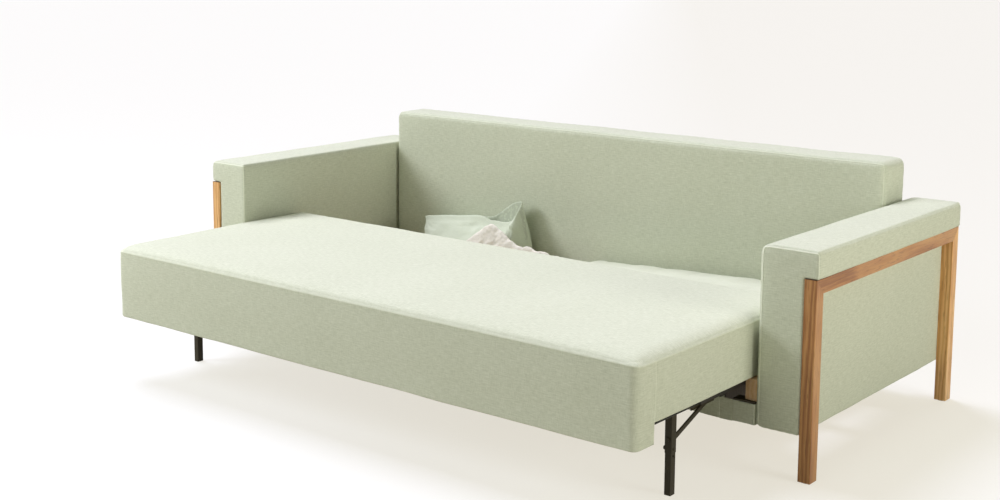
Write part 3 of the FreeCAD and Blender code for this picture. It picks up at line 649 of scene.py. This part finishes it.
def make_back():
    """Back cover: a tall boxed cushion with piped seams round its front and rear panels."""
    low, high = box_of("back_upholstery")
    xs = lines(low[0], high[0], 12 * MM, low[0], high[0], fine=2.2 * MM, reach=7)
    ys = lines(low[1], high[1], 12 * MM, low[1], high[1], fine=2.0 * MM, reach=6)
    zs = lines(low[2], high[2], 12 * MM, low[2], high[2], fine=2.2 * MM, reach=7)
    points, faces = shell(xs, ys, zs)
    flat = points.copy()
    x, y, z = flat.T
    soft = (24 * MM, 15 * MM, 22 * MM)
    points = round_union(points, [(low, high)], soft, soft)
    edge_x = high[0] - np.abs(x)
    edge_y = np.minimum(y - low[1], high[1] - y)
    off = np.hypot(np.minimum(edge_x, np.abs(z - high[2])), np.abs(edge_y))
    seam = 1.0 * MM * bead(off, 1.8 * MM) - 0.8 * MM * bead(off - 5.0 * MM, 1.8 * MM)
    along = x + z
    pucker = (0.6 * MM * np.sin(along * 2 * math.pi / 0.037 + 2 * np.sin(along * 13))
              * bead(off, 18 * MM))
    crown = 3.4 * MM * (1 - np.exp(-np.minimum(edge_x, edge_y) / 0.04)) * (z > high[2] - TOUCH)
    front = 3.0 * MM * (1 - np.exp(-np.minimum(edge_x, high[2] - z) / 0.11)) * (y < low[1] + TOUCH)
    points = pushed(points, faces, seam + pucker + crown + front + ripple(flat, 0.36, 0.8 * MM, 31)
                    + ripple(flat, 0.08, 0.2 * MM, 32))
    # The piped seams get a painted highlight along them.
    back = make_piece("back_cover", points, faces, SAGE, "base",
                      ["back_upholstery"], 0.5 * bead(off, 2.2 * MM))


# ---- front panel

def make_front_panels():
    """The covered board under the seat: its middle, its ends, and the soft flaps for the legs."""
    parts = [("front_panel_cover", "front_panel", None)]
    parts += [(f"{name}_panel_end_cover", "panel_ends", side) for name, side in SIDES.items()]
    parts += [(f"{name}_leg_flap", "leg_flaps", side) for name, side in SIDES.items()]
    for piece_name, node, side in parts:
        co = np.array([v.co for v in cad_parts[node].data.vertices])
        if side:
            co = co[co[:, 0] * side > 0]
        low, high = co.min(0), co.max(0)
        flap = node == "leg_flaps"
        soft = (0.1 * MM, 1.0 * MM, 1.5 * MM) if flap else (0.1 * MM, 4 * MM, 5 * MM)
        xs = lines(low[0], high[0], 10 * MM, low[0], high[0], fine=1.2 * MM, reach=4)
        ys = lines(low[1], high[1], 2 * MM if flap else 6 * MM)
        zs = lines(low[2], high[2], 8 * MM, low[2], high[2], fine=1.2 * MM, reach=4)
        points, faces = shell(xs, ys, zs)
        flat = points.copy()
        points = round_union(points, [(low, high)], soft, soft)
        amount = 0.3 if flap else 0.7  # the flaps are thinner
        points = pushed(points, faces,
                        ripple(flat, 0.12, amount * MM, 41) + ripple(flat, 0.04, 0.15 * MM, 42))
        piece = make_piece(piece_name, points, faces, SAGE, "base", [node])
        if flap:
            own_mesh(piece)


# ---- bedding

BOX_FLOOR = 0.150
BOX_REAR = 0.5705
AROUND = 128  # points round each ring of the pillow and the quilt
PUFF_FRAMES = 20
PUFF = {"quality": 6, "mass": 0.25, "tension_stiffness": 20.0, "compression_stiffness": 20.0,
        "shear_stiffness": 5.0, "bending_stiffness": 0.15, "use_pressure": True}
PILLOW_LEFT, PILLOW_RIGHT = -0.785, -0.299
BLANKET_LEFT, BLANKET_RIGHT = -0.556, -0.053
QUILT_LEFT, QUILT_RIGHT = -0.045, 0.872


def curve_through(knots):
    """A smooth function of x in metres through (x, value) knots in millimetres, flat at its ends."""
    xs, values = np.array(knots).T / 1000
    slopes = np.gradient(values, xs)
    slopes[[0, -1]] = 0

    def value_at(x):
        x = np.clip(x, xs[0], xs[-1])
        i = np.clip(np.searchsorted(xs, x, side="right") - 1, 0, len(xs) - 2)
        step = xs[i + 1] - xs[i]
        t = (x - xs[i]) / step
        return (values[i] * (1 + 2 * t) * (1 - t) ** 2 + slopes[i] * step * t * (1 - t) ** 2
                + values[i + 1] * t * t * (3 - 2 * t) - slopes[i + 1] * step * t * t * (1 - t))

    return value_at


def loft(rings):
    """Points and quads of closed rings in a row, open at both ends."""
    count, around = rings.shape[:2]
    index = np.arange(count * around).reshape(count, around)
    turned = np.roll(index, -1, axis=1)
    quads = np.stack([index[:-1], index[1:], turned[1:], turned[:-1]], -1).reshape(-1, 4)
    return rings.reshape(-1, 3), quads


def with_ends(faces, count):
    """The quads of a loft of count points, and a face over each of its end rings."""
    ring = np.arange(AROUND)
    return [*faces, ring[::-1], count - AROUND + ring]


def puffed(points, faces, pressure, cap, held=None):
    """Cloth simulation that blows a closed form up a little; no point moves more than cap."""
    mesh = mesh_of("puff", points, faces)
    body = placed("puff", mesh)
    cloth = body.modifiers.new("cloth", "CLOTH")
    for key, value in {**PUFF, "uniform_pressure_force": pressure}.items():
        setattr(cloth.settings, key, value)
    cloth.settings.effector_weights.gravity = 0
    if held is not None:
        group = body.vertex_groups.new(name="held")
        group.add([int(i) for i in np.flatnonzero(held)], 1.0, "REPLACE")
        cloth.settings.vertex_group_mass = "held"
    cloth.collision_settings.use_collision = False
    scene = bpy.context.scene
    for number in range(1, PUFF_FRAMES + 1):
        scene.frame_set(number)
    shape = body.evaluated_get(bpy.context.evaluated_depsgraph_get()).to_mesh()
    moved = np.zeros(len(points) * 3)
    shape.vertices.foreach_get("co", moved)
    bpy.data.objects.remove(body)
    bpy.data.meshes.remove(mesh)
    scene.frame_set(1)
    step = moved.reshape(-1, 3) - points
    step -= step.mean(0)
    length = np.linalg.norm(step, axis=1, keepdims=True)
    return points + step * np.minimum(1, cap / np.maximum(length, 1e-9))


def smoothed(piece):
    """Applies one level of subdivision, so that the piece is a plain mesh."""
    bpy.context.view_layer.update()
    modifier = piece.modifiers.new("smooth", "SUBSURF")
    modifier.levels = modifier.render_levels = 1
    shape = bpy.data.meshes.new_from_object(
        piece.evaluated_get(bpy.context.evaluated_depsgraph_get()))
    piece.modifiers.clear()
    shape.name = piece.name
    piece.data = shape
    shape.polygons.foreach_set("use_smooth", [True] * len(shape.polygons))


def reach_along(points):
    """How far each point is from the first, along the line through them."""
    return np.concatenate([[0], np.cumsum(np.linalg.norm(np.diff(points, axis=0), axis=1))])


def softened(corners):
    """A closed outline of (y, z) corners, cut to rounded ones."""
    corners = np.array(corners, float)
    for _ in range(3):
        following = np.roll(corners, -1, axis=0)
        corners = np.stack([corners * 0.75 + following * 0.25,
                            corners * 0.25 + following * 0.75], 1).reshape(-1, 2)
    return corners


def stitched(corners):
    """Points spaced evenly round a closed outline of (y, z) corners."""
    closed = np.array(list(corners) + [corners[0]], float)
    reach = reach_along(closed)
    spots = np.linspace(0, reach[-1], AROUND, endpoint=False)
    return np.stack([np.interp(spots, reach, closed[:, k]) for k in (0, 1)], 1)


def make_pillow():
    """Pillow leaning on the back: its case is open at the top, one corner pulled up into an ear."""
    left = [(-701, 387), (-644, 394), (-579, 402)]
    ear = [(-337, 472), (-326, 448), (-315, 404), (-308, 372), (-301, 318), (-299, 250)]
    front_rim = curve_through([
        (-785, 374), (-773, 377), *left, (-523, 408), (-499, 406), (-467, 402), (-428, 401),
        (-397, 401), (-374, 406), (-361, 414), (-353, 428), (-347, 450), *ear])
    rear_rim = curve_through([
        (-785, 374), *left, (-530, 407), (-499, 406), (-475, 409), (-444, 427), (-413, 450),
        (-385, 468), (-366, 475), (-350, 477), *ear])
    spans = [(PILLOW_LEFT, -0.765, 8), (-0.765, -0.50, 34), (-0.50, -0.36, 30),
             (-0.36, PILLOW_RIGHT, 32)]
    xs = np.concatenate([np.linspace(*span)[:-1] for span in spans] + [[PILLOW_RIGHT]])
    rows, rims = [], []
    for x in xs:
        near_left = np.clip((x - PILLOW_LEFT) / 0.085, 0, 1)
        near_right = np.clip((PILLOW_RIGHT - x) / 0.036, 0, 1)
        full = 0.04 + 0.96 * math.sqrt(1 - (1 - near_left) ** 2) * math.sqrt(
            1 - (1 - near_right) ** 2)
        front, rear = front_rim(x), rear_rim(x)
        opening = np.clip((rear - front) / 0.022, 0, 1)
        tip = 0.016 * np.clip((x + 0.376) / 0.030, 0, 1)
        low = BOX_FLOOR + 0.004
        high = max(front, low + 0.12)

        def level(share):
            return low + (high - low) * share
        mouth = 0.497 + tip
        corners = [(0.474 - 0.055 * full, low), (0.476 - 0.088 * full, level(0.05)),
                   (0.478 - 0.103 * full, level(0.25)), (0.484 - 0.078 * full, level(0.55)),
                   (0.489 - 0.042 * full, level(0.78)), (mouth - 0.003 - 0.008 * full, level(0.94)),
                   (mouth - 0.001, level(1) - 0.002), (mouth + 0.002, level(1)),
                   (mouth + 0.005, level(1) - 0.004),
                   (0.507 + tip * 0.6, high - 0.004 - 0.050 * opening),
                   (0.514 + tip * 0.3, high - 0.004 - 0.056 * opening),
                   (0.512 + 0.014 * opening, max(rear - 0.03 * opening, level(1) - 0.012)),
                   (0.512 + 0.017 * opening, rear - 0.003), (0.514 + 0.018 * opening, rear),
                   (0.517 + 0.018 * opening, rear - 0.004),
                   (0.523 + 0.022 * full, level(0.80)), (0.527 + 0.038 * full, level(0.5)),
                   (0.527 + 0.036 * full, level(0.10)), (0.520 + 0.020 * full, low)]
        corners = [(min(y, BOX_REAR - 0.004), z) for y, z in corners]
        ring = stitched(corners)
        side = np.clip((-0.60 - x) / 0.185, 0, 1)
        slant = 0.42 * np.clip(0.374 - ring[:, 1], 0, 0.11) * side
        rows.append(np.column_stack([x + slant, ring]))
        rims.append(np.full(len(ring), front))
    points, faces = loft(np.array(rows))
    rims = np.concatenate(rims)
    from_left = np.repeat(xs, AROUND) - PILLOW_LEFT
    points = puffed(points, faces, 1.2, 6 * MM, held=points[:, 2] > rims - 0.022)
    normal = normals_of(points, faces)
    ahead = np.clip(-normal[:, 1] * 2, 0, 1)
    inside = (points[:, 1] > 0.499) & (points[:, 2] > rims - 0.058) & (normal[:, 1] < -0.2)
    # A fold runs from the foot of the ear down to the right side.
    run = np.array([0.042, -0.034]) / math.hypot(0.042, 0.034)
    plan = points[:, [0, 2]] - (-0.352, 0.412)
    along, aside = plan @ run, plan @ np.array([run[1], -run[0]])
    fold = (4.5 * MM * bead(aside, 5 * MM) - 3.0 * MM * bead(aside - 9 * MM, 6 * MM)) * bead(
        along - 0.022, 0.028)
    loose = np.clip((rims - points[:, 2]) / 0.03, 0.15, 1)
    wrinkles = (ripple(points * (1, 1, 0.6), 0.11, 1.8 * MM, 52)
                + creased(points, 0.085, 1.9 * MM, 55) + ripple(points, 0.03, 0.35 * MM, 53))
    edge = np.clip(from_left / 0.012, 0, 1)
    points = points + normal * (wrinkles * loose * edge + fold * ahead)[:, None]
    points[:, 1] = np.minimum(points[:, 1], BOX_REAR - 0.003)
    points[:, 2] = np.maximum(points[:, 2], BOX_FLOOR + 0.002)
    # A painted highlight along the hem by the left edge and along the rim of the opening.
    hem_highlight = 0.55 * bead(from_left - 6 * MM, 1.6 * MM) + 0.35 * bead(points[:, 2] - rims, 1.5 * MM)
    pillow = make_piece("pillow_pad", points, with_ends(faces, len(points)), PILLOW, "base",
                        ["pillow"], hem_highlight)
    mark = pillow.data.attributes.new("lining", "FLOAT", "POINT")
    mark.data.foreach_set("value", inside.astype(np.float32))
    smoothed(pillow)
    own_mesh(pillow)


def make_blanket():
    """A crumpled throw that peaks in front of the pillow and runs down in folds to its right."""
    ridge = curve_through([
        (-556, 205), (-520, 285), (-478, 339), (-450, 362), (-419, 388), (-392, 405), (-377, 406),
        (-358, 399), (-327, 385), (-304, 370), (-278, 359), (-255, 350), (-229, 347), (-207, 351),
        (-189, 350), (-170, 341), (-148, 344), (-127, 342), (-105, 336), (-84, 338), (-66, 333),
        (-53, 300)])
    xs = np.linspace(BLANKET_LEFT, BLANKET_RIGHT, 168)
    ts = np.linspace(0, 1, 90)
    rows = []
    for x in xs:
        top = ridge(x)
        peak_y = 0.316 + (top - 0.18) * 0.355
        sway = 0.006 * math.sin(x * 47) + 0.004 * math.sin(x * 23 + 1)
        path = [(0.334 + sway, 0.156), (0.320 + sway, 0.1565), (0.313, 0.164), (0.313, 0.185)]
        path += [(0.316 + (top - 0.18) * 0.355 * k + sway * k * (1 - k) * 3,
                  0.185 + (top - 0.19) * k) for k in (0.2, 0.4, 0.6, 0.8, 0.93)]
        rear = min(0.409, peak_y + 0.022)
        path += [(peak_y + 0.004, top), (peak_y + 0.011, top + 0.0005), (rear, top - 0.007),
                 (rear + 0.001, max(top - 0.045, 0.215)), (rear - 0.001, max(top - 0.095, 0.19))]
        path = np.array(path)
        reach = reach_along(path)
        reach /= reach[-1]
        line = np.stack([np.interp(ts, reach, path[:, k]) for k in (0, 1)], 1)
        for _ in range(3):
            line[1:-1] = (line[:-2] + line[2:] + 2 * line[1:-1]) / 4
        rows.append(np.column_stack([np.full(len(ts), x), line]))
    grid = np.array(rows)
    points = grid.reshape(-1, 3)
    index = np.arange(len(points)).reshape(grid.shape[:2])
    faces = np.stack([index[:-1, :-1], index[1:, :-1], index[1:, 1:], index[:-1, 1:]], -1)
    faces = faces.reshape(-1, 4)
    # Long folds fan out from the peak; small creases cross them.
    share = np.tile(ts, len(xs))
    fan = points[:, 0] + 0.385 + (points[:, 0] + 0.385) * 0.5 * (0.41 - points[:, 2]) / 0.25
    long_folds = (np.abs(np.sin(fan * 41 + 0.9 * np.sin(fan * 23) + 0.9)) - 0.6) * 2.4 * MM
    long_folds *= np.clip(share / 0.15, 0, 1) * np.clip((0.97 - share) / 0.3, 0.25, 1)
    small = creased(points * (1, 0.6, 0.8), 0.05, 1.5 * MM, 61) + creased(points, 0.02, 0.9 * MM, 63)
    points = pushed(points, faces, long_folds + small + ripple(points, 0.018, 0.35 * MM, 62))
    points[:, 1] = np.clip(points[:, 1], 0.302, 0.412)
    points[:, 2] = np.maximum(points[:, 2], BOX_FLOOR + 0.002)
    points[:, 0] = np.minimum(points[:, 0], -0.0500)
    # A painted highlight line along the throw's lower edge.
    border_highlight = 0.5 * bead((share - 0.012) * 0.4, 1.5 * MM)
    blanket = make_piece("blanket_throw", points, faces, BLANKET, "base",
                         ["blanket"], border_highlight)
    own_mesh(blanket)


def make_quilt():
    """A folded quilt: three soft layers with their folds to the front and quilted hollows."""
    top_line = curve_through([(-45, 284), (-18, 300), (50, 306), (150, 312), (230, 315),
                              (425, 326), (600, 333), (860, 335)])
    rings = []
    for x in np.linspace(QUILT_LEFT, QUILT_RIGHT, 132):
        near = min(x - QUILT_LEFT, QUILT_RIGHT - x)
        full = math.sqrt(max(0.0, 1 - max(0.0, 1 - near / 0.045) ** 2)) * 0.96 + 0.04
        top = BOX_FLOOR + (top_line(x) - BOX_FLOOR) * (0.80 + 0.20 * full)
        low = BOX_FLOOR + 0.004
        middle = 0.437
        half = 0.127 * (0.75 + 0.25 * full)
        height = top - low
        corners = []
        for k in range(3):
            foot = low + height * k / 3
            step = 0.006 * math.sin(x * 9 + k * 2.1) + 0.004 * math.sin(x * 31 + k)
            out = middle - half + 0.006 + step
            corners += [(out + 0.022, foot + 0.001), (out + 0.002, foot + height * 0.07),
                        (out - 0.003, foot + height * 0.17), (out + 0.002, foot + height * 0.27),
                        (out + 0.022, foot + height / 3 - 0.001)]
        corners[-1] = (middle - half + 0.040, top - 0.003)
        corners += [(middle - half * 0.4, top), (middle, top), (middle + half * 0.5, top),
                    (middle + half - 0.008, top - 0.004), (middle + half, top - 0.03),
                    (middle + half, low + 0.03), (middle + half - 0.01, low), (middle, low),
                    (middle - half + 0.03, low)]
        ring = stitched(softened(corners))
        centre = np.array([middle, (low + top) / 2])
        ring = centre + (ring - centre) * (0.9 + 0.1 * full)
        rings.append(np.column_stack([np.full(len(ring), x), ring]))
    points, faces = loft(np.array(rings))
    points = puffed(points, faces, 1.0, 5 * MM)
    # The stitching lines cross in squares; the filling stands up between them.
    cell_x = np.abs((points[:, 0] - QUILT_LEFT) % 0.13 - 0.065)
    depth = points[:, 1] + points[:, 2]
    cell_y = np.abs((depth - 0.02) % 0.115 - 0.0575)
    groove = np.maximum(bead(cell_x, 6 * MM), bead(cell_y, 6 * MM))
    filling = (1 - np.exp(-cell_x / 0.025)) * (1 - np.exp(-cell_y / 0.025)) * 2.0 * MM
    points = pushed(points, faces, filling - 0.8 * MM * groove + ripple(points, 0.12, 1.6 * MM, 71)
                    + creased(points, 0.06, 0.6 * MM, 73))
    points[:, 1] = np.clip(points[:, 1], 0.303, BOX_REAR - 0.003)
    points[:, 2] = np.maximum(points[:, 2], BOX_FLOOR + 0.002)
    quilt = make_piece("quilt_pad", points, with_ends(faces, len(points)), QUILT, "base",
                       ["quilt"])
    smoothed(quilt)
    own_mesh(quilt)


# ---- camera, light and floor

def make_camera():
    yaw, pitch, roll = -0.678, 0.144, 0.006
    position = Vector((2.8259, -3.5367, 1.4097))
    forward = Vector((math.sin(yaw) * math.cos(pitch), math.cos(yaw) * math.cos(pitch),
                      -math.sin(pitch)))
    right = Vector((math.cos(yaw), -math.sin(yaw), 0))
    up = right.cross(forward)
    across = right * math.cos(roll) + up * math.sin(roll)
    above = -right * math.sin(roll) + up * math.cos(roll)
    data = bpy.data.cameras.new("camera")
    data.sensor_width = 36
    data.lens = 52.25
    data.shift_y = -0.10
    data.clip_end = 200
    camera = placed("camera", data)
    turn = Matrix((across, above, -forward)).transposed()
    camera.matrix_world = Matrix.Translation(position) @ turn.to_4x4()
    bpy.context.scene.camera = camera


def add_lamp(name, kind, power, colour):
    data = bpy.data.lights.new(name, kind)
    data.energy, data.color = power, colour
    return placed(name, data)


def add_sun(name, strength, angle, elevation, azimuth, colour):
    """A soft sun; azimuth 0 shines from the front (-Y) and 90 from the right (+X)."""
    lamp = add_lamp(name, "SUN", strength, colour)
    lamp.data.angle = math.radians(angle)
    up, side = math.radians(elevation), math.radians(azimuth)
    source = Vector((math.cos(up) * math.sin(side), -math.cos(up) * math.cos(side), math.sin(up)))
    lamp.rotation_euler = (-source).to_track_quat("-Z", "Y").to_euler()


def add_softbox(name, power, radius, place, colour):
    """A round soft lamp that the camera doesn't see."""
    lamp = add_lamp(name, "POINT", power, colour)
    lamp.data.shadow_soft_size = radius
    lamp.location = place
    lamp.visible_camera = lamp.visible_glossy = False


def seen_directly(tree):
    """1 for the rays that show a surface as it is: camera, glossy and transmission rays."""
    path = put(tree, "LightPath")
    return math_node(tree, "MAXIMUM", path.outputs["Is Camera Ray"], math_node(
        tree, "MAXIMUM", path.outputs["Is Glossy Ray"], path.outputs["Is Transmission Ray"]))


def make_stage():
    """A studio: white where it is seen, soft lamps, and a pale floor with a soft shadow."""
    scene = bpy.context.scene
    scene.view_settings.view_transform = "Standard"
    scene.world = bpy.data.worlds.new("studio")
    tree = cleared(scene.world)
    soft = put(tree, "Background", {"Color": (1.0, 0.98, 0.92, 1), "Strength": 0.10}).outputs[0]
    white = put(tree, "Background", {"Color": (1, 1, 1, 1), "Strength": 1.0}).outputs[0]
    mix = put(tree, "MixShader", {0: seen_directly(tree), 1: soft, 2: white})
    put(tree, "OutputWorld", {0: mix.outputs[0]})
    add_sun("key", 2.80, 26, 62, 254, (1.0, 0.962, 1.13))
    add_sun("front_fill", 0.60, 50, 25, -10, (0.97, 1.0, 0.97))
    add_sun("rear_fill", 0.40, 40, 48, 180, (0.99, 0.985, 1.0))
    add_softbox("left_softbox", 430, 0.9, (-3.3, -2.9, 2.6), (0.985, 1.0, 1.09))
    add_softbox("right_softbox", 285, 0.9, (4.5, 0.0, 1.4), (1.0, 0.985, 0.94))
    # Where the floor is seen, it glows near white, a little dimmer to the right, and keeps part
    # of its shading as a soft shadow. Its bounce on the object is that of a plain pale floor.
    material = bpy.data.materials.new("pale_floor")
    tree = cleared(material)
    position = put(tree, "TexCoord").outputs["Object"]
    rightward = vector_node(tree, "DOT_PRODUCT", position, (0.72, 0.45, 0))
    dim = remapped(tree, rightward, -0.6, 0.8, 0.0, 1.0)
    glow = ramp(tree, dim, (0.0, (0.745, 0.715, 0.655, 1)), (1.0, (0.688, 0.645, 0.552, 1)))
    lit = put(tree, "Emission", {"Color": glow, "Strength": 1.0}).outputs[0]
    shade = put(tree, "BsdfDiffuse", {"Color": (0.225, 0.248, 0.272, 1)}).outputs[0]
    shown = put(tree, "AddShader", {0: lit, 1: shade}).outputs[0]
    bounce = put(tree, "BsdfDiffuse", {"Color": (0.45, 0.43, 0.34, 1)}).outputs[0]
    mix = put(tree, "MixShader", {0: seen_directly(tree), 1: bounce, 2: shown})
    put(tree, "OutputMaterial", {0: mix.outputs[0]})
    reach = 60.0
    mesh = mesh_of("floor", [(-reach, -reach, 0), (reach, -reach, 0), (reach, reach, 0),
                             (-reach, reach, 0)], [(0, 1, 2, 3)])
    mesh.materials.append(material)
    floor = placed("floor", mesh)


make_seat()
for side_name, side_sign in SIDES.items():
    make_arm(side_name, side_sign)
make_back()
make_front_panels()
make_pillow()
make_blanket()
make_quilt()
make_camera()
make_stage()
